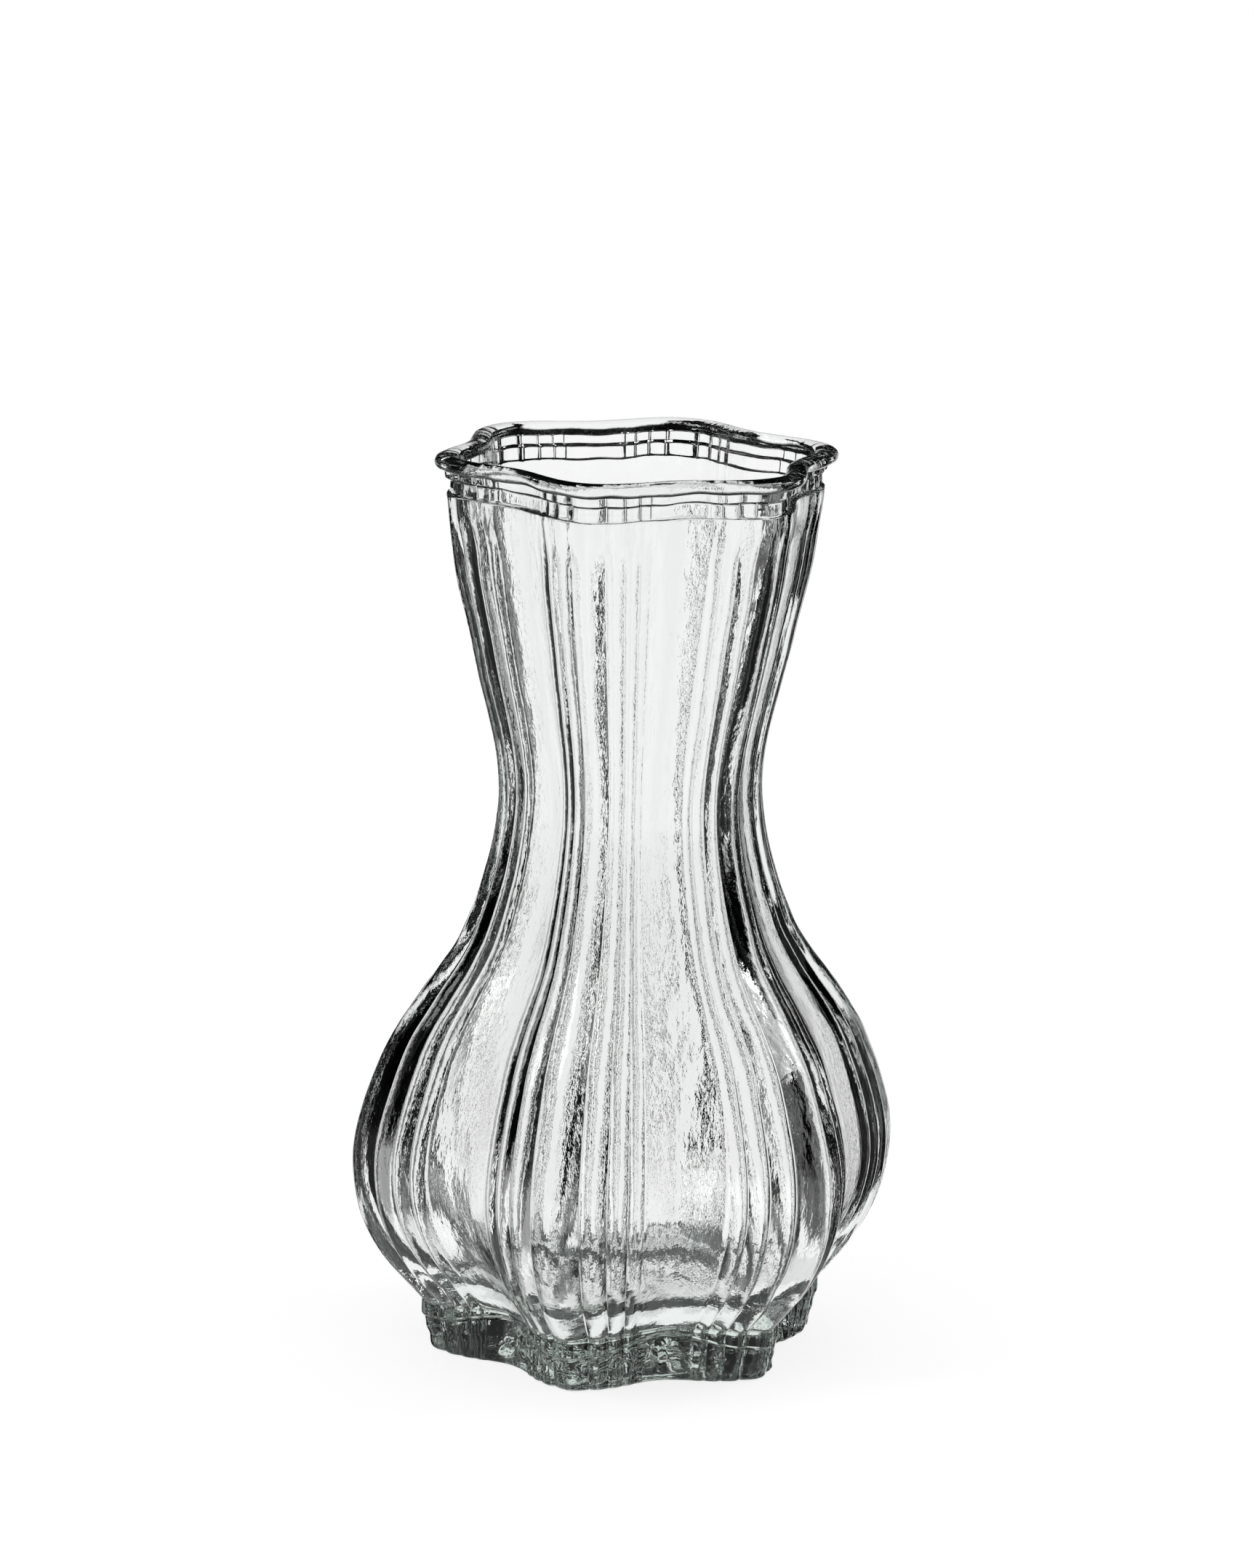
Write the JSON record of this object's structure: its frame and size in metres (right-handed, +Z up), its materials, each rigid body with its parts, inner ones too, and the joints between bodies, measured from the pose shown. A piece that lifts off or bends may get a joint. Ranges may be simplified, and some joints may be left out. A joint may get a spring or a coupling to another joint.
{
  "type": "glass flower vase",
  "caption": "Clear moulded glass flower vase: lobed, ribbed bulb belly, slim waist, flared neck with a stepped collar and smooth wavy lip, on a thick lobed foot.",
  "frame": {"origin": "centre of the standing face, on the surface that the vase stands on", "axes": "+Z up along the vase's axis towards the mouth, +X through the crest of a lobe, +Y through a hollow between two lobes"},
  "size_m": [0.123, 0.1118, 0.2],
  "materials": {
    "glass": "clear polished moulded glass"
  },
  "bodies": {
    "root": {"vase": "glass"}
  },
  "joints": []
}
